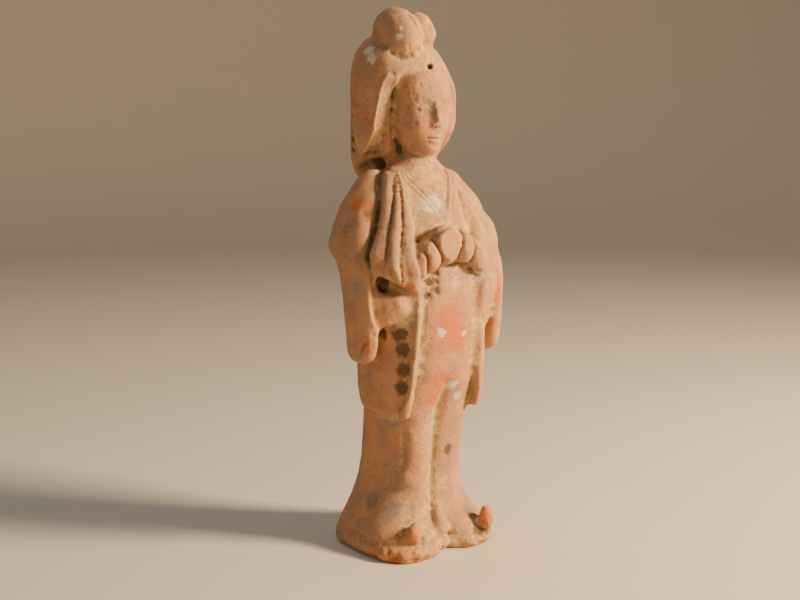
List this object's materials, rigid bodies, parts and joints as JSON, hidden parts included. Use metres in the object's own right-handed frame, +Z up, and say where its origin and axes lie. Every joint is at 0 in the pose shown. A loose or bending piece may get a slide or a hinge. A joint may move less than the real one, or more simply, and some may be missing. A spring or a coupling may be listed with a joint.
{
  "type": "pottery figure",
  "caption": "Standing court lady in moulded earthenware, hands joined at the waist, with winged hair and a topknot; rests on its own flat base.",
  "frame": {"origin": "on the ground under the middle of the figure's box", "axes": "+Z up, the figure looks along -Y, its left hand is towards +X"},
  "size_m": [0.126, 0.0934, 0.35],
  "materials": {
    "earthenware": "unglazed low-fired buff to pinkish clay, matt, with burial earth in the hollows"
  },
  "bodies": {
    "root": {"court_lady": "earthenware"}
  },
  "joints": []
}
